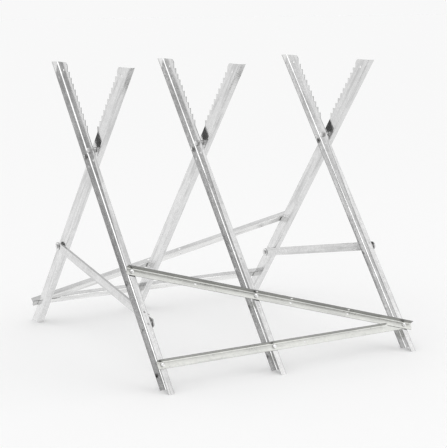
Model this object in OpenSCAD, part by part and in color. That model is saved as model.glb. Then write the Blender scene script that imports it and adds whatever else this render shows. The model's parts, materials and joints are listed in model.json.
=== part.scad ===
// Folding log sawhorse: three pressed-steel X frames, joined by rails at the
// front and at the rear, and held open by a hooked brace at each end.
// Units are millimetres. X runs along the log, -Y is the front, +Z is up.
// The origin is on the floor, under the middle of the sawhorse.
// Every leg is the same channel: its web lies across the log, its back flange
// and its lip turn away from the gap between the front and the rear leg.

/* [Overall] */
// Height of the open sawhorse
height = 792; // [700:1:900]
// Height of the pivots above the floor
pivot_h = 563; // [540:1:600]
// Lean of each leg from upright when the sawhorse is open
lean = 37.2; // [34:0.1:40]
// Distance between the two end frames
frame_spacing = 772; // [650:1:900]
// Place of the middle frame, as a share of the distance from left to right
middle_share = 0.436; // [0.40:0.002:0.47]
// Clear gap between the front and the rear leg of a frame
web_gap = 15; // [14.5:0.1:18]

/* [Legs] */
// Sheet thickness of legs, rails and braces
sheet = 1.5; // [1.2:0.1:2]
// Outer radius of the bends
bend_r = 4; // [3:0.1:4.5]
// Width of the web below the crossing
web_w = 37; // [36:0.5:40]
// Width of the web over the tips of the teeth
toothed_w = 46; // [44:0.5:48]
// Depth of the back flange
flange_w = 17.5; // [16:0.5:20]
// Depth of the lip where it starts
lip_start_w = 9; // [7:0.5:11]
// Number of steps on each arm
steps = 10; // [8:1:10]
// Height of one step
step_h = 15.5; // [14:0.1:16]
// Distance from the top of an arm down to its first tread
first_tread = 25; // [20:1:26]
// Radius of the rounding at the top of the toothed edge
top_corner = 10; // [6:0.5:10]

/* [Rails and braces] */
// Height of a rail's face
rail_face = 21; // [18:0.5:24]
// Depth of a rail's top flange
rail_flange = 15; // [12:0.5:16]
// Distance down the leg from the pivot to the high end of the diagonal rail
high_hole = 378; // [370:1:390]
// Distance down the leg from the pivot to the lower rail
low_hole = 641; // [630:1:650]
// Distance down the leg from the pivot to the upper brace hole
brace_high = 382; // [376:1:388]
// Distance down the leg from the pivot to the lower brace hole
brace_low = 520; // [510:1:530]
// Width of a brace
brace_w = 24; // [22:0.5:24]

/* [Fasteners] */
// Diameter of the pivot bolts
pivot_d = 8; // [8:1:8]
// Diameter of the rail and brace bolts
bolt_d = 6; // [6:1:6]
// Outer diameter of the pivot spacer tubes
pivot_tube_d = 14; // [12:0.5:14]
// Outer diameter of the wide washers on the braces
wide_washer_d = 24; // [18:1:24]

/* [Hidden] */

$fn = 48;
far = 2000;
LEFT = 0;
MIDDLE = 1;
RIGHT = 2;

// Fits: a running fit turns, a clearance hole only lets a bolt through
running = 0.08;
clearance = 0.3;
side_play = 0.3;

// Across the leg, measured from the pivot towards the lip
back_y = -web_w / 2;
lip_y = web_w / 2;
tip_y = toothed_w - web_w / 2;

// Along the leg, measured from the pivot; up is positive
lip_start = 26;
lip_corner = 14;
lip_full = 300;
lock_hole = 32;
top_hole = [2.3, 259];
top_hole_d = 7;
lock_hole_d = 7.5;

// Bolts through the lip, and through the web for the braces
lip_bolt = 9.5;
brace_y = 5.5;

// Rails, in the plane of the lips: u is along the leg, x along the log
high_x = frame_spacing / 2 + web_gap / 2 + lip_bolt;
low_x = -frame_spacing / 2 + web_gap / 2 + lip_bolt;
rail_drop = low_hole - high_hole;
diagonal_tilt = atan(rail_drop / frame_spacing);
diagonal_len = frame_spacing / cos(diagonal_tilt);
high_margin = 14;
low_margin = 24;
spare_hole = 0.22;
// The cut in the lower rail's flange, which keeps this far from the diagonal rail
notch_gap = 1;
notch_low = rail_face / 2 - bend_r - 0.5;
notch_high = rail_face / 2 + 1;

// How far from the low bolt the cut reaches, at a height on the lower rail
function notch_x(z) =
    (z + notch_gap + (rail_face / 2) / cos(diagonal_tilt)) / tan(diagonal_tilt);

// Fastener sizes
pivot_head = 5.3;
pivot_nut = 6.5;
pivot_af = 13;
pivot_washer = 1.6;
pivot_washer_d = 16;
bolt_head = 4;
bolt_nut = 5;
thin_nut = 4;
bolt_af = 10;
bolt_len = 14;
wide_washer = 1.2;
spacer_d = 12;

// The brace plate runs in the middle of the gap; distances from the leg's web
plate_near = web_gap / 2 - sheet / 2;
plate_far = web_gap / 2 + sheet / 2;
spacer_len = plate_near - side_play;
washer_at = plate_far + side_play;
brace_flange = 7.2;

// Ends of a brace in the plane across the log, from the pivot: the hinge is on
// one leg's lower brace hole, the hook on the other leg's upper one
function from_pivot(s, side) = [
    side * (sin(lean) * s + cos(lean) * brace_y),
    -cos(lean) * s + sin(lean) * brace_y
];
hinge_at = from_pivot(brace_low, -1);
hook_at = from_pivot(brace_high, 1);
brace_len = norm(hook_at - hinge_at);
brace_slope = atan2(hook_at[1] - hinge_at[1], hook_at[0] - hinge_at[0]);
// Direction in which the bolt leaves the hook as the sawhorse folds
hook_angle = 54;

// Place of a frame's front web along the log, at the face of its gap
function frame_x(i) =
    ([0, middle_share, 1][i] - 0.5) * frame_spacing - web_gap / 2;

// Height along the leg of a point at the world height z and the distance y across
function along(z, y) = (z - pivot_h - sin(lean) * y) / cos(lean);

// Tip of step i on the toothed edge, and the root below it
function tip(i) = [tip_y, along(height - first_tread + (1 - i) * step_h, tip_y)];
function root(i) = tip(i - 1) - step_h * [sin(lean), cos(lean)];
// Middle of the rounding at the top of the toothed edge, which runs out into the top
corner_middle = [tip_y - top_corner, along(height - 0.97 * top_corner, tip_y - top_corner)];
last_root = tip(steps) - (tip_y - lip_y) / sin(lean) * [sin(lean), cos(lean)];

// Distance down the leg of the diagonal rail, at a share of its run from its low end
function diagonal_at(share) = low_hole - share * rail_drop;
lip_holes = [
    high_hole, diagonal_at(1 - middle_share), diagonal_at(middle_share), low_hole
];

// ---- places ----

// Leg frame: x outward from the gap, y towards the lip, z up along the leg
module on_front_leg(i) {
    translate([frame_x(i), 0, pivot_h]) rotate([lean, 0, 180]) children();
}

module on_rear_leg(i) {
    translate([frame_x(i) + web_gap, 0, pivot_h]) rotate([lean, 0, 0]) children();
}

// Rail frame: x along the log, y outward from the lips, z up along the legs
module on_front_side() {
    translate([0, 0, pivot_h]) rotate([lean, 0, 180]) translate([0, lip_y, 0]) children();
}

module on_rear_side() {
    translate([0, 0, pivot_h]) rotate([lean, 0, 0]) translate([0, lip_y, 0]) children();
}

// Turns the left end's fittings into the right end's
module at_right_end() {
    rotate([0, 0, 180]) children();
}

// ---- shapes ----

module bar_x(d, from, to) {
    translate([from, 0, 0]) rotate([0, 90, 0]) cylinder(d = d, h = to - from);
}

module hex_x(af, from, to) {
    translate([from, 0, 0]) rotate([0, 90, 0]) cylinder(d = af / cos(30), h = to - from, $fn = 6);
}

module ring_x(outer, inner, from, to) {
    difference() {
        bar_x(outer, from, to);
        bar_x(inner, from - 1, to + 1);
    }
}

module nut_x(af, d, from, to) {
    difference() {
        hex_x(af, from, to);
        bar_x(d + 2 * running, from - 1, to + 1);
    }
}

// Quarter of a bend, with its corner in the quadrant that sx and sy give
module bend(sx, sy) {
    intersection() {
        difference() {
            circle(r = bend_r);
            circle(r = bend_r - sheet);
        }
        scale([sx, sy]) square(bend_r);
    }
}

// Turns an outline of (across, along) into a plate in the web's plane
module in_web_plane(thick) {
    rotate([90, 0, 90]) linear_extrude(thick) children();
}

// ---- legs ----

module web_plate() {
    in_web_plane(sheet) polygon(concat(
        [[back_y + bend_r, -far], [back_y + bend_r, far], [tip_y - top_corner, far]],
        [for (a = [50 : -5 : 0]) corner_middle + top_corner * [cos(a), sin(a)]],
        [for (i = [0 : steps - 1]) each [tip(i), root(i + 1)]],
        [tip(steps), last_root, [lip_y, -lip_start]],
        [[lip_y - bend_r, -lip_start], [lip_y - bend_r, -far]]
    ));
}

module back_flange() {
    translate([bend_r, back_y, -far]) cube([flange_w - bend_r, sheet, 2 * far]);
    translate([bend_r, back_y + bend_r, -far]) linear_extrude(2 * far) bend(-1, -1);
}

module lip() {
    translate([0, lip_y, 0]) rotate([90, 0, 0]) linear_extrude(sheet) polygon([
        [bend_r, -lip_start], [lip_start_w, -lip_start - lip_corner],
        [flange_w, -lip_full], [flange_w, -far], [bend_r, -far]
    ]);
    translate([bend_r, lip_y - bend_r, -far]) linear_extrude(far - lip_start) bend(-1, 1);
}

module web_hole(y, z, d) {
    translate([0, y, z]) bar_x(d, -1, sheet + 1);
}

module leg() {
    difference() {
        intersection() {
            union() {
                web_plate();
                back_flange();
                lip();
            }
            rotate([-lean, 0, 0]) translate([-far / 2, -far / 2, -pivot_h]) cube([far, far, height]);
        }
        web_hole(0, 0, pivot_d + 2 * running);
        web_hole(0, -lock_hole, lock_hole_d);
        web_hole(top_hole[0], top_hole[1], top_hole_d);
        for (s = [brace_high, brace_low]) web_hole(brace_y, -s, bolt_d + 2 * clearance);
        for (s = lip_holes)
            translate([lip_bolt, lip_y + 1, -s]) rotate([90, 0, 0])
                cylinder(d = bolt_d + 2 * clearance, h = sheet + 2);
    }
}

module front_leg_left() { color("lightgray") on_front_leg(LEFT) leg(); }
module front_leg_middle() { color("lightgray") on_front_leg(MIDDLE) leg(); }
module front_leg_right() { color("lightgray") on_front_leg(RIGHT) leg(); }
module rear_leg_left() { color("gainsboro") on_rear_leg(LEFT) leg(); }
module rear_leg_middle() { color("gainsboro") on_rear_leg(MIDDLE) leg(); }
module rear_leg_right() { color("gainsboro") on_rear_leg(RIGHT) leg(); }

// ---- rails ----

// Angle from x = from to x = to: its back is on y = 0, its flange is at the top
module rail(from, to) {
    mid = rail_face / 2;
    translate([from, 0, -mid]) cube([to - from, sheet, rail_face - bend_r]);
    translate([from, bend_r, mid - bend_r]) rotate([90, 0, 90]) linear_extrude(to - from) bend(-1, 1);
    translate([from, bend_r, mid - sheet]) cube([to - from, rail_flange - bend_r, sheet]);
}

module rail_holes(places) {
    for (x = places) translate([x, sheet + 1, 0]) rotate([90, 0, 0])
        cylinder(d = bolt_d + 2 * clearance, h = sheet + 2);
}

module flange_holes(places) {
    for (x = places) translate([x, (bend_r + rail_flange) / 2, rail_face / 2 - sheet - 1])
        cylinder(d = bolt_d + 2 * clearance, h = sheet + 2);
}

// Places of a rail's holes from its low end, for a rail with its end holes len apart
function hole_shares() = [0, middle_share, 1 - middle_share, 1];

// Near its low end the flange and its bend are cut away, under the diagonal rail
module lower_rail() {
    translate([low_x, 0, -low_hole]) difference() {
        rail(-low_margin, frame_spacing + high_margin);
        rail_holes(hole_shares() * frame_spacing);
        translate([0, rail_flange + 1, 0]) rotate([90, 0, 0]) linear_extrude(rail_flange + 2)
            polygon([
                [-low_margin - 1, notch_low], [notch_x(notch_low), notch_low],
                [notch_x(notch_high), notch_high], [-low_margin - 1, notch_high]
            ]);
    }
}

// The diagonal rail lies one sheet further out, over the lower rail's end
module diagonal_rail() {
    translate([low_x, sheet, -low_hole]) rotate([0, -diagonal_tilt, 0]) difference() {
        rail(-low_margin, diagonal_len + high_margin);
        rail_holes(concat(hole_shares(), [spare_hole, 1 - spare_hole]) * diagonal_len);
        flange_holes([spare_hole, middle_share, 1 - middle_share] * diagonal_len);
    }
}

module front_lower_rail() { color("silver") on_front_side() lower_rail(); }
module front_diagonal_rail() { color("silver") on_front_side() diagonal_rail(); }
module rear_lower_rail() { color("silver") on_rear_side() lower_rail(); }
module rear_diagonal_rail() { color("silver") on_rear_side() diagonal_rail(); }

// ---- rail fasteners ----

// Bolts of one side: x from the low end, distance down the leg, sheets under the head.
// share is the middle leg's place, counted from the low end of the diagonal.
function rail_bolt_list(share) = [
    [0, low_hole, 2],
    [share * frame_spacing, low_hole, 1],
    [frame_spacing, low_hole, 1],
    [share * frame_spacing, diagonal_at(share), 2],
    [frame_spacing, high_hole, 2]
];
front_bolts = rail_bolt_list(1 - middle_share);
rear_bolts = rail_bolt_list(middle_share);

// Puts x outward from the lip, at each bolt of a list
module at_bolts(list) {
    for (b = list) translate([low_x + b[0], 0, -b[1]]) rotate([0, 0, 90]) {
        $sheets = b[2];
        children();
    }
}

module rail_bolts(list) {
    at_bolts(list) {
        hex_x(bolt_af, $sheets * sheet, $sheets * sheet + bolt_head);
        bar_x(bolt_d, $sheets * sheet - bolt_len, $sheets * sheet);
    }
}

module rail_nuts(list) {
    at_bolts(list) nut_x(bolt_af, bolt_d, -sheet - bolt_nut, -sheet);
}

// Packing washers between the lips and the diagonal rail, where no lower rail is
module rail_washers(list) {
    at_bolts([list[3], list[4]]) ring_x(spacer_d, bolt_d + 2 * clearance, 0, sheet);
}

module front_rail_washers() { color("darkgray") on_front_side() rail_washers(front_bolts); }
module front_rail_bolts() { color("darkgray") on_front_side() rail_bolts(front_bolts); }
module front_rail_nuts() { color("darkgray") on_front_side() rail_nuts(front_bolts); }
module rear_rail_washers() { color("darkgray") on_rear_side() rail_washers(rear_bolts); }
module rear_rail_bolts() { color("darkgray") on_rear_side() rail_bolts(rear_bolts); }
module rear_rail_nuts() { color("darkgray") on_rear_side() rail_nuts(rear_bolts); }

// ---- pivots ----

// Distances along the bolt, from the gap face of the front web
head_washer_at = -sheet - pivot_washer;
nut_washer_at = web_gap + sheet + side_play;
pivot_nut_at = nut_washer_at + pivot_washer;
pivot_end = pivot_nut_at + pivot_nut + 2;

module at_pivots() {
    for (i = [LEFT : RIGHT]) translate([frame_x(i), 0, pivot_h]) children();
}

module pivot_bolts() {
    color("darkgray") at_pivots() {
        hex_x(pivot_af, head_washer_at - pivot_head, head_washer_at);
        bar_x(pivot_d, head_washer_at, pivot_end);
    }
}

module pivot_head_washers() {
    color("darkgray") at_pivots()
        ring_x(pivot_washer_d, pivot_d + 2 * running, head_washer_at, -sheet);
}

module pivot_spacers() {
    color("darkgray") at_pivots()
        ring_x(pivot_tube_d, pivot_d + 2 * running, 0, web_gap - side_play);
}

module pivot_nut_washers() {
    color("darkgray") at_pivots()
        ring_x(pivot_washer_d, pivot_d + 2 * running, nut_washer_at, pivot_nut_at);
}

module pivot_nuts() {
    color("darkgray") at_pivots()
        nut_x(pivot_af, pivot_d, pivot_nut_at, pivot_nut_at + pivot_nut);
}

// ---- braces ----

// Outline with its hinge at the origin and its hook on the x axis
module brace_outline() {
    difference() {
        union() {
            translate([0, -brace_w / 2]) square([brace_len, brace_w]);
            for (x = [0, brace_len]) translate([x, 0]) circle(d = brace_w);
        }
        circle(d = bolt_d + 2 * running);
        translate([brace_len, 0]) {
            circle(d = bolt_d + 2 * clearance + 0.2);
            rotate(180 + hook_angle) translate([0, -bolt_d / 2 - clearance - 0.1])
                square([brace_w, bolt_d + 2 * clearance + 0.2]);
        }
    }
}

// Brace in the leg's gap, x across the gap, with its stiffening flange on top
module brace() {
    in_web_plane(sheet) brace_outline();
    translate([0, brace_w, brace_w / 2 - sheet])
        cube([brace_flange, brace_len - 2 * brace_w, sheet]);
}

module left_brace() {
    color("silver")
        translate([frame_x(LEFT) + plate_near, hinge_at[0], pivot_h + hinge_at[1]])
            rotate([brace_slope, 0, 0]) brace();
}

module right_brace() { color("silver") at_right_end() left_brace(); }

// Places on the leg's web, x into the gap
module at_left_hinge() {
    on_front_leg(LEFT) translate([0, brace_y, -brace_low]) rotate([0, 0, 180]) children();
}

module at_left_hook() {
    on_rear_leg(LEFT) translate([0, brace_y, -brace_high]) rotate([0, 0, 180]) children();
}

// Hinge: the head is in the channel, the nut in the gap
module hinge_bolt() {
    hex_x(bolt_af, -sheet - bolt_head, -sheet);
    bar_x(bolt_d, -sheet, washer_at + wide_washer + thin_nut + 0.5);
}

// Hook: the head is in the gap, the nut in the channel
module hook_bolt() {
    head_at = washer_at + wide_washer;
    hex_x(bolt_af, head_at, head_at + bolt_head);
    bar_x(bolt_d, -sheet - bolt_nut - 2, head_at);
}

module spacer() { ring_x(spacer_d, bolt_d + 2 * running, 0, spacer_len); }

module wide_ring() {
    ring_x(wide_washer_d, bolt_d + 2 * running, washer_at, washer_at + wide_washer);
}

module gap_nut() {
    nut_at = washer_at + wide_washer;
    nut_x(bolt_af, bolt_d, nut_at, nut_at + thin_nut);
}

module channel_nut() { nut_x(bolt_af, bolt_d, -sheet - bolt_nut, -sheet); }

module left_hinge_bolt() { color("darkgray") at_left_hinge() hinge_bolt(); }
module left_hinge_spacer() { color("darkgray") at_left_hinge() spacer(); }
module left_hinge_washer() { color("darkgray") at_left_hinge() wide_ring(); }
module left_hinge_nut() { color("darkgray") at_left_hinge() gap_nut(); }
module left_hook_bolt() { color("darkgray") at_left_hook() hook_bolt(); }
module left_hook_spacer() { color("darkgray") at_left_hook() spacer(); }
module left_hook_washer() { color("darkgray") at_left_hook() wide_ring(); }
module left_hook_nut() { color("darkgray") at_left_hook() channel_nut(); }

module right_hinge_bolt() { at_right_end() left_hinge_bolt(); }
module right_hinge_spacer() { at_right_end() left_hinge_spacer(); }
module right_hinge_washer() { at_right_end() left_hinge_washer(); }
module right_hinge_nut() { at_right_end() left_hinge_nut(); }
module right_hook_bolt() { at_right_end() left_hook_bolt(); }
module right_hook_spacer() { at_right_end() left_hook_spacer(); }
module right_hook_washer() { at_right_end() left_hook_washer(); }
module right_hook_nut() { at_right_end() left_hook_nut(); }

front_leg_left();
front_leg_middle();
front_leg_right();
rear_leg_left();
rear_leg_middle();
rear_leg_right();
front_lower_rail();
front_diagonal_rail();
rear_lower_rail();
rear_diagonal_rail();
front_rail_washers();
front_rail_bolts();
front_rail_nuts();
rear_rail_washers();
rear_rail_bolts();
rear_rail_nuts();
pivot_bolts();
pivot_head_washers();
pivot_spacers();
pivot_nut_washers();
pivot_nuts();
left_brace();
left_hinge_bolt();
left_hinge_spacer();
left_hinge_washer();
left_hinge_nut();
left_hook_bolt();
left_hook_spacer();
left_hook_washer();
left_hook_nut();
right_brace();
right_hinge_bolt();
right_hinge_spacer();
right_hinge_washer();
right_hinge_nut();
right_hook_bolt();
right_hook_spacer();
right_hook_washer();
right_hook_nut();
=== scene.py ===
import json
import math

import bmesh
import bpy
import numpy as np
from mathutils import Matrix, Vector


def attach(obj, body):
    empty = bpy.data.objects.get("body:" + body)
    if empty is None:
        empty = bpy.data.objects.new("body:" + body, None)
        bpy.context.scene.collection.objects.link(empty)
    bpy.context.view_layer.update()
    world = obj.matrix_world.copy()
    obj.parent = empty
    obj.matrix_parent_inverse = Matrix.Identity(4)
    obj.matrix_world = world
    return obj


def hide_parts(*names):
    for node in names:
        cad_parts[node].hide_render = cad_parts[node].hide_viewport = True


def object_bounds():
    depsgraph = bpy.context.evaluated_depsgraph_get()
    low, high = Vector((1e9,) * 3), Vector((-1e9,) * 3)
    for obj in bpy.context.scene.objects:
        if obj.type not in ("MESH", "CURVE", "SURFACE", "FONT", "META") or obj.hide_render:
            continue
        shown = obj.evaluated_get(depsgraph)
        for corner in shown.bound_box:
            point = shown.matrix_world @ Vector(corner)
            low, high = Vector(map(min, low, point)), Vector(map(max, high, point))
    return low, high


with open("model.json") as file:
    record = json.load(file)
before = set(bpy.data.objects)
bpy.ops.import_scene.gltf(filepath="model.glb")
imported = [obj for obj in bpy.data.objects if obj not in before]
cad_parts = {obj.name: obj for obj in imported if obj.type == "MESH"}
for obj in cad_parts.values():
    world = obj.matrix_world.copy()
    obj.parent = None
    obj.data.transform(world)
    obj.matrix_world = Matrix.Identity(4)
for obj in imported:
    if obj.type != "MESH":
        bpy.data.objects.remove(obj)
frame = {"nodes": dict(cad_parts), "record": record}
cad_low, cad_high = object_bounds()

MM = 0.001
TAU = 2 * math.pi

# Which body each node rides on, from the record
BODY_OF = {
    node: body
    for body, nodes in frame["record"]["behaviour"]["bodies"].items()
    for node in nodes
}


def frame_on(axis, across=None):
    """A rotation whose Z is the axis and whose X is as near as can be to across."""
    z = Vector(axis).normalized()
    x = Vector(across) if across is not None else z.orthogonal()
    x = (x - z * x.dot(z)).normalized()
    return Matrix((x, z.cross(x), z)).transposed().to_4x4()


# ---------------------------------------------------------------- materials


def grey(level):
    return (level, level, level)


class Shader:
    """A small helper that adds and links the nodes of one material."""

    def __init__(self, name):
        self.material = bpy.data.materials.new(name)
        self.material.use_nodes = True
        self.tree = self.material.node_tree
        self.bsdf = self.tree.nodes["Principled BSDF"]
        self.bsdf.inputs["Metallic"].default_value = 1.0
        self.coords = self.add("ShaderNodeTexCoord").outputs["Object"]

    def add(self, kind, **settings):
        made = self.tree.nodes.new(kind)
        for key, value in settings.items():
            setattr(made, key, value)
        return made

    def link(self, source, target):
        self.tree.links.new(source, target)

    def mapped(self, rotation=(0, 0, 0), stretch=1.0):
        """The piece's own coordinates, turned and then drawn out along the turned Z."""
        node = self.add("ShaderNodeMapping", vector_type="TEXTURE")
        node.inputs["Rotation"].default_value = rotation
        node.inputs["Scale"].default_value = (1.0, 1.0, stretch)
        self.link(self.coords, node.inputs["Vector"])
        return node.outputs["Vector"]

    def noise(self, vector, scale, detail=4, roughness=0.55, distortion=0.0):
        node = self.add("ShaderNodeTexNoise")
        node.inputs["Scale"].default_value = scale
        node.inputs["Detail"].default_value = detail
        node.inputs["Roughness"].default_value = roughness
        node.inputs["Distortion"].default_value = distortion
        self.link(vector, node.inputs["Vector"])
        return node.outputs["Fac"]

    def cells(self, rotation, scale):
        """A grey value that is constant over each cell, in cells that are turned by rotation."""
        node = self.add("ShaderNodeTexVoronoi")
        node.inputs["Scale"].default_value = scale
        self.link(self.mapped(rotation=rotation), node.inputs["Vector"])
        parts = self.add("ShaderNodeSeparateColor")
        self.link(node.outputs["Color"], parts.inputs["Color"])
        return parts.outputs["Red"]

    def ramp(self, source, low, high, out_low, out_high):
        """The source, with the range from low to high made into out_low to out_high."""
        node = self.add("ShaderNodeMapRange")
        for key, value in (
            ("From Min", low),
            ("From Max", high),
            ("To Min", out_low),
            ("To Max", out_high),
        ):
            node.inputs[key].default_value = value
        self.link(source, node.inputs["Value"])
        return node.outputs["Result"]

    def blend(self, *shares):
        """The sum of several grey values, each times its share."""
        total = None
        for source, share in shares:
            part = self.add("ShaderNodeMath", operation="MULTIPLY")
            part.inputs[1].default_value = share
            self.link(source, part.inputs[0])
            if total is None:
                total = part.outputs["Value"]
                continue
            added = self.add("ShaderNodeMath", operation="ADD")
            self.link(total, added.inputs[0])
            self.link(part.outputs["Value"], added.inputs[1])
            total = added.outputs["Value"]
        return total

    def colour_mix(self, factor, a, b):
        """From colour a to colour b, each of them a tuple or an output."""
        node = self.add("ShaderNodeMix", data_type="RGBA")
        self.link(factor, node.inputs["Factor"])
        for key, value in (("A", a), ("B", b)):
            socket = next(s for s in node.inputs if s.name == key and s.type == "RGBA")
            if isinstance(value, tuple):
                socket.default_value = (*value, 1.0)
            else:
                self.link(value, socket)
        return next(s for s in node.outputs if s.type == "RGBA")

    def patches(self, base, mask, low, high, share, colour):
        """The base with up to share of a colour over it, where the mask goes from low to high."""
        return self.colour_mix(self.ramp(mask, low, high, 0.0, share), base, colour)

    def corner_shade(self, base, reach, low, high, share, colour):
        """The base with up to share of a dark colour over it, in corners up to reach metres wide:
        painted shade where other faces are near.
        """
        near = self.add("ShaderNodeAmbientOcclusion", samples=6)
        near.inputs["Distance"].default_value = reach
        return self.colour_mix(self.ramp(near.outputs["AO"], low, high, share, 0.0), base, colour)

    def bump(self, height, strength, distance, below=None):
        node = self.add("ShaderNodeBump")
        node.inputs["Strength"].default_value = strength
        node.inputs["Distance"].default_value = distance
        self.link(height, node.inputs["Height"])
        if below is not None:
            self.link(below, node.inputs["Normal"])
        return node.outputs["Normal"]

    def finish(self, colour, roughness, normal):
        self.link(colour, self.bsdf.inputs["Base Color"])
        self.link(roughness, self.bsdf.inputs["Roughness"])
        self.link(normal, self.bsdf.inputs["Normal"])
        return self.material


# How far the rolling streaks and the drained runs are drawn out along a piece
STREAK_STRETCH = 28.0
RUN_STRETCH = 12.0
# Turns that keep the crystals from lining up with the sheet or with each other
SPANGLE_TURN = (0.3, 0.5, 0.2)
FINE_SPANGLE_TURN = (0.7, 0.1, 0.4)

DRAINED_ZINC = grey(0.33)
WHITE_RUST = (0.50, 0.50, 0.49)
GRIME = (0.36, 0.36, 0.35)
# Colours of the painted shade laid in the corners of the sheets and around the fasteners
SHEET_CORNER_SHADE = (0.22, 0.22, 0.21)
FASTENER_CORNER_SHADE = (0.16, 0.15, 0.14)


def galvanised(name, run, light, dark, rough=(0.08, 0.22)):
    """Bright galvanised sheet, with its rolling streaks along the direction run."""
    s = Shader(name)
    tilt = frame_on(run).to_euler()
    plain = s.mapped()
    along = s.mapped(rotation=tilt, stretch=STREAK_STRETCH)
    drained = s.mapped(rotation=tilt, stretch=RUN_STRETCH)
    spangle = s.cells(SPANGLE_TURN, scale=120)
    fine_spangle = s.cells(FINE_SPANGLE_TURN, scale=310)
    clouds = s.noise(plain, scale=9, detail=5, roughness=0.6)
    streaks = s.noise(along, scale=420, detail=3, roughness=0.6)
    stains = s.noise(along, scale=55, detail=6, roughness=0.65, distortion=0.4)
    grime = s.noise(plain, scale=60, detail=6, roughness=0.7)
    runs = s.noise(drained, scale=80, detail=4, distortion=0.2)

    tone = s.blend((spangle, 0.16), (clouds, 0.52), (streaks, 0.22), (fine_spangle, 0.10))
    base = s.colour_mix(s.ramp(tone, 0.32, 0.68, 0.0, 1.0), dark, light)
    # Darker runs left by the zinc as it drained along the piece
    base = s.patches(base, runs, 0.50, 0.68, 0.40, DRAINED_ZINC)
    # White rust and handling marks, in long faint patches
    base = s.patches(base, stains, 0.60, 0.74, 0.16, WHITE_RUST)
    base = s.patches(base, grime, 0.72, 0.82, 0.25, GRIME)
    # Painted shade: the sheet is darkened in its channels and corners, where other faces are near
    base = s.corner_shade(base, 20 * MM, 0.10, 0.45, 0.45, SHEET_CORNER_SHADE)

    gloss = s.blend((clouds, 0.5), (spangle, 0.25), (streaks, 0.25))
    waves = s.bump(s.noise(plain, scale=11, detail=2), strength=0.16, distance=1.2 * MM)
    lines = s.bump(streaks, strength=0.10, distance=0.06 * MM, below=waves)
    crystals = s.bump(spangle, strength=0.05, distance=0.04 * MM, below=lines)
    return s.finish(base, s.ramp(gloss, 0.30, 0.70, *rough), crystals)


def zinc(name, light, dark, scale, rough):
    """Zinc plating on a small turned or pressed part; scale is that of its mottle."""
    s = Shader(name)
    plain = s.mapped()
    mottle = s.noise(plain, scale, detail=4, roughness=0.6)
    wide = s.noise(plain, scale * 0.16, detail=3)
    grain = s.noise(plain, scale * 1.5, detail=2)
    tone = s.blend((mottle, 0.45), (wide, 0.55))
    base = s.colour_mix(s.ramp(tone, 0.35, 0.65, 0.0, 1.0), dark, light)
    # Painted shade: the part is darkened in the crevices around it, as a contact shadow
    base = s.corner_shade(base, 4 * MM, 0.25, 0.80, 0.65, FASTENER_CORNER_SHADE)
    return s.finish(base, s.ramp(mottle, 0.3, 0.7, *rough), s.bump(grain, 0.15, 0.03 * MM))


# ---------------------------------------------------------------- geometry

# Vertices closer than this, in metres, are one point
WELD = 2e-6


def solids_of(node):
    """The vertex places of each separate solid of a CAD node, in a fixed order."""
    mesh = frame["nodes"][node].data
    places = np.array([v.co for v in mesh.vertices], float).reshape(-1, 3)
    keys = [tuple(row) for row in np.round(places / WELD).astype(int).tolist()]
    index = {}
    welded = [index.setdefault(key, len(index)) for key in keys]
    parent = list(range(len(index)))

    def root(i):
        while parent[i] != i:
            parent[i] = parent[parent[i]]
            i = parent[i]
        return i

    for edge in mesh.edges:
        a, b = (root(welded[i]) for i in edge.vertices)
        parent[max(a, b)] = min(a, b)
    groups = {}
    for i, w in enumerate(welded):
        groups.setdefault(root(w), []).append(i)
    clouds = [places[ids] for _, ids in sorted(groups.items())]
    return sorted(clouds, key=lambda c: tuple(np.round(c.mean(0), 4)))


def long_axis(cloud):
    """Direction in which a cloud of vertices is longest."""
    centred = cloud - cloud.mean(0)
    return np.linalg.eigh(centred.T @ centred)[1][:, -1]


def along_axis(cloud, axis):
    """The middle of a turned or hexagonal solid, and its vertices' places from there.

    They are given as distances along the axis, distances from it, and offsets from it.
    """
    axis = np.array(axis) / np.linalg.norm(axis)
    middle = (cloud.min(0) + cloud.max(0)) / 2
    t = (cloud - middle) @ axis
    # The middle of the box is on the axis only if the ends are alike, so it is moved there
    off = cloud - middle - np.outer(t, axis)
    unique = np.unique(np.round(off, 6), axis=0)
    middle = middle + (unique.min(0) + unique.max(0)) / 2
    off = cloud - middle - np.outer(t, axis)
    return middle, t, np.linalg.norm(off, axis=1), off


def even_angles(steps):
    return [TAU * i / steps for i in range(steps)]


class Builder:
    """Collects rings of vertices into one mesh."""

    def __init__(self):
        self.bm = bmesh.new()

    def ring(self, radii, heights, angles):
        """A ring of vertices; one number for radii or heights goes for all of them."""
        if isinstance(radii, float):
            radii = [radii] * len(angles)
        if isinstance(heights, float):
            heights = [heights] * len(angles)
        return [
            self.bm.verts.new((r * math.cos(a), r * math.sin(a), z))
            for a, r, z in zip(angles, radii, heights)
        ]

    def bridge(self, low, high):
        n = len(low)
        for i in range(n):
            j = (i + 1) % n
            self.bm.faces.new((low[i], low[j], high[j], high[i]))

    def bridge_all(self, rings):
        for low, high in zip(rings, rings[1:]):
            self.bridge(low, high)

    def cap(self, ring, up):
        self.bm.faces.new(ring if up else list(reversed(ring)))

    def place(self, matrix):
        self.bm.transform(matrix)
        return self.bm


HEX_STEPS = 48
# Where the chamfer of a head or nut starts, as a share of half its flats, and its slope
CHAMFER_START = 0.955
CHAMFER_SLOPE = 0.52
# An end with no chamfer still has its edge broken by this much
BROKEN_EDGE = 0.12 * MM
# The dish in a pressed head: its rim and floor as shares of the flats, and its depth
DISH_RIM = 0.36
DISH_FLOOR = 0.31
DISH_DEPTH = 0.25 * MM
# The chamfer in the mouth of a nut, as a share of its bore's radius
MOUTH = 0.18


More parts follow.
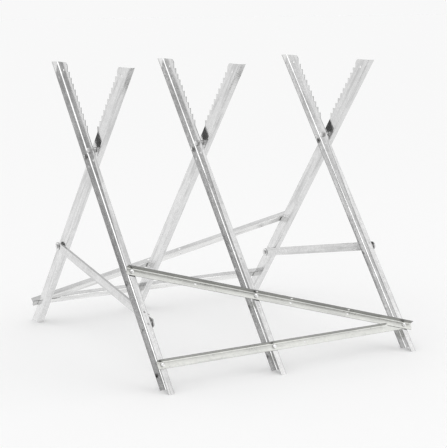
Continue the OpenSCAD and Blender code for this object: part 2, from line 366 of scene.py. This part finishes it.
def hexagon(builder, flats, low, high, bore=None):
    """A hexagonal head along Z, dished at the top, or a nut if it has a bore."""
    angles = even_angles(HEX_STEPS)
    start = flats / 2 * CHAMFER_START
    # Distances to the hexagon's edge, with a corner at angle 0
    radii = [flats / 2 / math.cos(a % (TAU / 6) - TAU / 12) for a in angles]
    drop = [max(0.0, r - start) * CHAMFER_SLOPE for r in radii]
    low_edge = [low + (BROKEN_EDGE if bore is None else d) for d in drop]
    face_low = builder.ring(start, low, angles)
    edge_low = builder.ring(radii, low_edge, angles)
    edge_high = builder.ring(radii, [high - d for d in drop], angles)
    face_high = builder.ring(start, high, angles)
    builder.bridge_all([face_low, edge_low, edge_high, face_high])
    if bore is None:
        builder.cap(face_low, False)
        dish = builder.ring(flats * DISH_RIM, high, angles)
        dish_floor = builder.ring(flats * DISH_FLOOR, high - DISH_DEPTH, angles)
        builder.bridge_all([face_high, dish, dish_floor])
        builder.cap(dish_floor, True)
        return
    mouth = MOUTH * bore
    inside = [
        builder.ring(radius, height, angles)
        for radius, height in (
            (bore + mouth, high),
            (bore, high - mouth),
            (bore, low + mouth),
            (bore + mouth, low),
        )
    ]
    builder.bridge_all([face_high, *inside, face_low])


THREAD_STEPS = 24
ROWS_PER_PITCH = 6
# Shares of the pitch: the thread's depth, and the length that leads in at the tip
THREAD_DEPTH = 0.55
LEAD_IN = 0.9
# The groove's half width is the pitch divided by this
GROOVE_STEEPNESS = 2.6


def threaded_shank(builder, radius, high, thread_from, pitch):
    """A shank along Z from 0 to high, with a helical thread from thread_from on."""
    depth = THREAD_DEPTH * pitch
    angles = even_angles(THREAD_STEPS)
    rows = max(2, int((high - thread_from) / pitch * ROWS_PER_PITCH))
    rings = [
        builder.ring(radius, z, angles)
        for z in (0.0, thread_from - pitch / 2)
    ]
    for row in range(rows + 1):
        z = thread_from + (high - thread_from) * row / rows
        ease_in = min(1.0, (z - thread_from) / pitch)
        lead = (high - z) / (LEAD_IN * pitch)
        tip_radius = radius - depth * max(0.0, 1.0 - lead)
        radii = []
        for a in angles:
            phase = (z / pitch - a / TAU) % 1.0
            cut = max(0.0, 1.0 - abs(phase - 0.5) * GROOVE_STEEPNESS)
            radii.append(min(radius - depth * cut * ease_in, tip_radius))
        rings.append(builder.ring(radii, z, angles))
    builder.bridge_all(rings)
    builder.cap(rings[0], False)
    builder.cap(rings[-1], True)


SHARP_ANGLE = math.radians(32)


def finish_mesh(bm):
    """Smooth faces, with the edges sharper than SHARP_ANGLE marked sharp."""
    bmesh.ops.recalc_face_normals(bm, faces=bm.faces)
    for face in bm.faces:
        face.smooth = True
    for edge in bm.edges:
        edge.smooth = not (
            len(edge.link_faces) == 2 and edge.calc_face_angle(0.0) > SHARP_ANGLE
        )


def make_piece(name, meshes, node, material):
    """One object from several bmeshes; it stands for the node and rides where the node did."""
    mesh = bpy.data.meshes.new(name)
    whole = bmesh.new()
    for bm in meshes:
        finish_mesh(bm)
        part = bpy.data.meshes.new(name + "_part")
        bm.to_mesh(part)
        bm.free()
        whole.from_mesh(part)
        bpy.data.meshes.remove(part)
    whole.to_mesh(mesh)
    whole.free()
    piece = bpy.data.objects.new(name, mesh)
    bpy.context.scene.collection.objects.link(piece)
    mesh.materials.append(material)
    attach(piece, BODY_OF[node])
    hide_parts(node)
    return piece


# ---------------------------------------------------------------- fasteners

M6_PITCH = 1.0 * MM
M8_PITCH = 1.25 * MM
# Share of a bolt's shank that has no thread, from the head on
PLAIN_SHARE = 0.25
# Vertices further from the axis than this share of the corners' distance are corners
NEAR_CORNER = 0.98
# Vertices further from the axis than this many shank radii are the head's
CLEAR_OF_SHANK = 1.2
RING_STEPS = 56
EDGE_ROUNDING = 0.25 * MM
# The rounding takes no more than this share of a washer's thickness or width
ROUNDING_LIMIT = 0.3
# Shares of the rounding: the burr, and how far the middle of the rounded edge is cut back
BURR = 0.25
SHOULDER = 0.3


def outward_axis(node):
    """Direction of the bolts of a node, from the shank to the head."""
    cloud = solids_of(node)[0]
    axis = long_axis(cloud)
    _, t, r, _ = along_axis(cloud, axis)
    head_side = t[r > r.max() * NEAR_CORNER].mean()
    return axis if head_side > (t.max() + t.min()) / 2 else -axis


def across_flats(r):
    """Width of a hexagon across its flats, from its vertices' distances from the axis."""
    return r.max() * math.sqrt(3)


def hex_place(middle, axis, off, r):
    """Where a hexagon goes, with its corner 0 on a corner of the CAD solid."""
    corner = off[int(np.argmax(np.round(r, 6)))]
    return Matrix.Translation(middle) @ frame_on(axis, corner)


def detailed_bolts(node, pitch, material):
    axis = outward_axis(node)
    made = []
    for cloud in solids_of(node):
        middle, t, r, off = along_axis(cloud, axis)
        radius = r[t < t.min() + 0.01 * MM].max()
        head = t[r > radius * CLEAR_OF_SHANK]
        length = head.min() - t.min()
        top = Builder()
        hexagon(top, across_flats(r), head.min(), head.max())
        # The shank is made from the head down, so that its thread is at the far end
        shank = Builder()
        threaded_shank(shank, radius, length, length * PLAIN_SHARE, pitch)
        shank.place(Matrix.Translation((0, 0, head.min())) @ Matrix.Rotation(math.pi, 4, "X"))
        place = hex_place(middle, axis, off, r)
        made += [top.place(place), shank.place(place)]
    return make_piece(node + "_detail", made, node, material)


def detailed_nuts(node, axis, material):
    made = []
    for cloud in solids_of(node):
        middle, t, r, off = along_axis(cloud, axis)
        nut = Builder()
        hexagon(nut, across_flats(r), t.min(), t.max(), bore=r.min())
        made.append(nut.place(hex_place(middle, axis, off, r)))
    return make_piece(node + "_detail", made, node, material)


def detailed_rings(node, axis, material):
    """Washers and spacer tubes, with their edges broken."""
    made = []
    for cloud in solids_of(node):
        middle, t, r, _ = along_axis(cloud, axis)
        low, high, inner, outer = t.min(), t.max(), r.min(), r.max()
        e = min(EDGE_ROUNDING, (high - low) * ROUNDING_LIMIT, (outer - inner) * ROUNDING_LIMIT)
        # A punched washer is rounded on one side and has a sharp burr on the other
        burr = e * BURR
        shoulder = e * SHOULDER
        profile = [
            (outer - burr, low),
            (outer, low + burr),
            (outer, high - e),
            (outer - shoulder, high - shoulder),
            (outer - e, high),
            (inner + e, high),
            (inner + shoulder, high - shoulder),
            (inner, high - e),
            (inner, low + burr),
            (inner + burr, low),
        ]
        washer = Builder()
        angles = even_angles(RING_STEPS)
        rings = [washer.ring(radius, height, angles) for radius, height in profile]
        washer.bridge_all([*rings, rings[0]])
        made.append(washer.place(Matrix.Translation(middle) @ frame_on(axis)))
    return make_piece(node + "_detail", made, node, material)


# ---------------------------------------------------------------- sheet metal

SHEET = 1.5 * MM
# Neighbouring faces within the first angle are one flat, and an edge past the second is a cut
FLAT_ANGLE = math.radians(0.4)
CUT_ANGLE = math.radians(50)
EDGE_BREAK = 0.22 * MM
# A sheared edge is a face no wider than this, with at least this share of its outline cut
SHEARED_WIDTH = 1.02 * SHEET
SHEARED_SHARE = 0.6
# A face lies along a direction if its normal's cosine to it is less than this
ALONG = 0.3
# Material slots of a sheet, after slot 0 for its face and bends
SHEARED_SLOT = 1
SHADED_FLANGE_SLOT = 2


def is_sheared(face, cuts):
    """Whether a face is the sheared edge of the sheet, between two cut edges."""
    around = face.calc_perimeter()
    cut = sum(e.calc_length() for e in face.edges if e in cuts)
    return cut > SHEARED_SHARE * around and face.calc_area() / (around / 2) < SHEARED_WIDTH


def softened_sheet(node, material, sheared, flange=None, flange_along=()):
    """The CAD sheet with its cut edges broken, as punching and galvanising leave them.

    sheared is the material of the cut edges, and flange that of the flats that lie along
    both of the flange_along directions: a darker copy of the sheet's material, painted shade.
    """
    bm = bmesh.new()
    bm.from_mesh(frame["nodes"][node].data)
    bmesh.ops.remove_doubles(bm, verts=bm.verts, dist=WELD)
    bmesh.ops.dissolve_limit(bm, angle_limit=FLAT_ANGLE, verts=bm.verts, edges=bm.edges)
    cuts = [
        e for e in bm.edges if len(e.link_faces) == 2 and e.calc_face_angle(0.0) > CUT_ANGLE
    ]
    cut_set = set(cuts)
    # Sheared edges get their own slot, and the flats along the flange get the darker slot of
    # painted shade
    for face in bm.faces:
        if is_sheared(face, cut_set):
            face.material_index = SHEARED_SLOT
        elif flange and all(abs(face.normal.dot(d)) < ALONG for d in flange_along):
            face.material_index = SHADED_FLANGE_SLOT
    bmesh.ops.bevel(
        bm,
        geom=cuts,
        offset=EDGE_BREAK,
        offset_type="OFFSET",
        segments=2,
        profile=0.5,
        affect="EDGES",
        clamp_overlap=True,
    )
    bmesh.ops.triangulate(bm, faces=[f for f in bm.faces if len(f.verts) > 4])
    piece = make_piece(node + "_sheet", [bm], node, material)
    # The wide faces keep flat normals, and the bends and bevels blend between them
    flat = piece.modifiers.new("flat_faces", "WEIGHTED_NORMAL")
    flat.keep_sharp = True
    flat.weight = 100
    piece.data.materials.append(sheared)
    if flange:
        piece.data.materials.append(flange)
    return piece


# ---------------------------------------------------------------- the object

OUTWARD = {side: outward_axis(side + "_rail_bolts") for side in ("front", "rear")}
ACROSS = (1.0, 0.0, 0.0)

# Light and dark tone of each kind of sheet, then its lowest and highest roughness if it is dull
LEG_TONES = {
    "front": (grey(0.80), grey(0.60)),
    "rear": (grey(0.74), grey(0.60)),
}
RAIL_TONES = {
    "front": ((0.76, 0.765, 0.735), (0.60, 0.605, 0.58), (0.26, 0.40)),
    "rear": ((0.84, 0.84, 0.835), (0.72, 0.72, 0.715), (0.20, 0.34)),
}
# Darker copies of the rail tones, put on the flanges as painted shade
SHADED_FLANGE_TONES = {
    "front": ((0.42, 0.42, 0.41), (0.28, 0.28, 0.275), (0.26, 0.40)),
    "rear": (grey(0.62), grey(0.48), (0.20, 0.34)),
}
BRACE_TONES = (grey(0.70), grey(0.54))
EDGE_TONES = (grey(0.24), grey(0.12), (0.30, 0.45))
sheet_materials = {}


def node_axis(node):
    """Direction in which a node is longest."""
    return long_axis(np.concatenate(solids_of(node)))


def sheet_material(kind, node, tones):
    """The galvanised material of a kind of sheet, with its streaks along the first such node."""
    if kind not in sheet_materials:
        sheet_materials[kind] = galvanised("galvanised_" + kind, node_axis(node), *tones)
    return sheet_materials[kind]


sheared_edges = galvanised("galvanised_sheared_edges", ACROSS, *EDGE_TONES)
bolt_zinc = zinc("zinc_bolts", grey(0.88), grey(0.62), scale=900, rough=(0.06, 0.18))
nut_zinc = zinc("zinc_nuts", grey(0.84), grey(0.56), scale=1100, rough=(0.10, 0.25))
washer_zinc = zinc("zinc_washers", grey(0.78), grey(0.54), scale=700, rough=(0.12, 0.28))


def leg(node, side):
    softened_sheet(node, sheet_material(side + "_legs", node, LEG_TONES[side]), sheared_edges)


def rail(node, side):
    """An angle section, whose flange is painted darker than its face: painted shade on the
    flange.
    """
    face = sheet_material(node, node, RAIL_TONES[side])
    flange = sheet_material(side + "_shaded_flanges", node, SHADED_FLANGE_TONES[side])
    flange_along = (Vector(node_axis(node)), Vector(OUTWARD[side]))
    softened_sheet(node, face, sheared_edges, flange, flange_along)


def brace(node):
    strip = sheet_material(node, node, BRACE_TONES)
    softened_sheet(node, strip, strip)


for node in frame["nodes"]:
    side = node.split("_")[0]
    bolt_axis = OUTWARD[side] if "rail" in node else ACROSS
    if "_leg_" in node:
        leg(node, side)
    elif node.endswith("_rail"):
        rail(node, side)
    elif node.endswith("_brace"):
        brace(node)
    elif node.endswith(("bolt", "bolts")):
        detailed_bolts(node, M8_PITCH if node.startswith("pivot") else M6_PITCH, bolt_zinc)
    elif node.endswith(("nut", "nuts")):
        detailed_nuts(node, bolt_axis, nut_zinc)
    else:
        detailed_rings(node, bolt_axis, washer_zinc)


# ---------------------------------------------------------------- studio

ROOM_WHITE = 0.94
# Half the floor's width in metres, and how far it lies below the feet
FLOOR_HALF = 40.0
FLOOR_GAP = 0.2 * MM

bpy.context.scene.view_settings.view_transform = "Standard"


def studio_floor():
    """A plain white floor just under the feet."""
    mesh = bpy.data.meshes.new("studio_floor")
    corners = [(-1, -1), (1, -1), (1, 1), (-1, 1)]
    mesh.from_pydata([(FLOOR_HALF * x, FLOOR_HALF * y, 0) for x, y in corners], [], [range(4)])
    floor = bpy.data.objects.new("studio_floor", mesh)
    floor.location.z = cad_low.z - FLOOR_GAP
    bpy.context.scene.collection.objects.link(floor)
    white = bpy.data.materials.new("studio_white")
    white.use_nodes = True
    bsdf = white.node_tree.nodes["Principled BSDF"]
    bsdf.inputs["Base Color"].default_value = (*grey(ROOM_WHITE), 1.0)
    bsdf.inputs["Roughness"].default_value = 1.0
    bsdf.inputs["Specular IOR Level"].default_value = 0.0
    mesh.materials.append(white)
    # The floor is left out of the metal's reflections, where it would be a flat white glare
    floor.visible_glossy = False
    return floor


studio_floor()

# Only the metal's reflections show the studio's soft boxes and dark gap; the camera
# and the floor see an even white room.
BOXES = [
    # direction, cosine where it starts, cosine where it is full, brightness
    ((0.52, -0.39, 0.76), 0.60, 0.90, 0.36),
    ((-0.52, 0.84, -0.17), 0.78, 0.94, 0.30),
    ((-0.85, -0.05, 0.52), 0.86, 0.97, 1.60),
    ((0.52, -0.84, 0.17), 0.76, 0.95, 0.60),
    ((0.0, 0.25, 1.0), 0.80, 0.97, 0.30),
    # The dark gap
    ((0.55, 0.82, -0.15), 0.84, 0.96, -0.62),
]
# Brightness above the horizon, and this far below it
SKY_BASE = 0.72
GROUND_BASE = 1.05
GROUND_DEPTH = 0.60
DARKEST = 0.03

world = bpy.data.worlds.new("studio")
bpy.context.scene.world = world
world.use_nodes = True
tree = world.node_tree
background = tree.nodes["Background"]


def world_node(kind, inputs=(), output="Result", **settings):
    """Adds a node to the world, with each input linked or set, and gives one output."""
    made = tree.nodes.new(kind)
    for key, value in settings.items():
        setattr(made, key, value)
    for key, value in inputs:
        if isinstance(value, bpy.types.NodeSocket):
            tree.links.new(value, made.inputs[key])
        else:
            made.inputs[key].default_value = value
    return made.outputs[output]


def smooth_step(source, start, full, at_start, at_full):
    inputs = (
        ("Value", source),
        ("From Min", start),
        ("From Max", full),
        ("To Min", at_start),
        ("To Max", at_full),
    )
    return world_node("ShaderNodeMapRange", inputs, interpolation_type="SMOOTHSTEP")


def world_math(operation, a, b):
    return world_node("ShaderNodeMath", ((0, a), (1, b)), "Value", operation=operation)


def choose(ray_kind, otherwise, for_ray):
    """The brightness for_ray for rays of a kind, and otherwise for the rest."""
    is_kind = world_node("ShaderNodeLightPath", output=ray_kind)
    inputs = (("Factor", is_kind), ("A", otherwise), ("B", for_ray))
    return world_node("ShaderNodeMix", inputs, data_type="FLOAT")


direction = world_node("ShaderNodeTexCoord", output="Generated")
height = world_node("ShaderNodeSeparateXYZ", (("Vector", direction),), "Z")
reflected = smooth_step(height, -GROUND_DEPTH, 0.0, GROUND_BASE, SKY_BASE)
for aim, start, full, brightness in BOXES:
    aimed = ((0, direction), (1, Vector(aim).normalized()))
    facing = world_node("ShaderNodeVectorMath", aimed, "Value", operation="DOT_PRODUCT")
    reflected = world_math("ADD", reflected, smooth_step(facing, start, full, 0.0, brightness))
reflected = world_math("MAXIMUM", reflected, DARKEST)
room = choose("Is Camera Ray", 1.0, ROOM_WHITE)
tree.links.new(choose("Is Glossy Ray", room, reflected), background.inputs["Strength"])
background.inputs["Color"].default_value = (*grey(1.0), 1.0)


def turned_to(view):
    """The rotation of a lamp or camera that looks along the direction view."""
    return view.to_track_quat("-Z", "Y").to_euler()


LAMP_TARGET = Vector((0, 0, 0.4))


def area_light(name, place, size, power):
    light = bpy.data.lights.new(name, "AREA")
    light.shape = "SQUARE"
    light.size = size
    light.energy = power
    lamp = bpy.data.objects.new(name, light)
    bpy.context.scene.collection.objects.link(lamp)
    lamp.location = place
    lamp.visible_glossy = False
    lamp.rotation_euler = turned_to(LAMP_TARGET - Vector(place))


area_light("key", (-2.6, -2.4, 3.2), 1.6, 5)
area_light("fill", (3.2, -1.6, 2.2), 1.8, 3)

# The photograph's viewing direction, distance and field of view
AZIMUTH = math.radians(-31.9)
ELEVATION = math.radians(9.8)
DISTANCE = 3.890
AIM = Vector((0.0205, -0.012, 0.326))
camera_data = bpy.data.cameras.new("camera")
camera_data.lens = 108.9
camera_data.sensor_width = 36.0
camera_data.clip_start = 0.1
camera_data.clip_end = 60.0
camera = bpy.data.objects.new("camera", camera_data)
bpy.context.scene.collection.objects.link(camera)
back = Vector(
    (
        math.sin(AZIMUTH) * math.cos(ELEVATION),
        -math.cos(AZIMUTH) * math.cos(ELEVATION),
        math.sin(ELEVATION),
    )
)
camera.location = AIM + back * DISTANCE
camera.rotation_euler = turned_to(-back)
bpy.context.scene.camera = camera
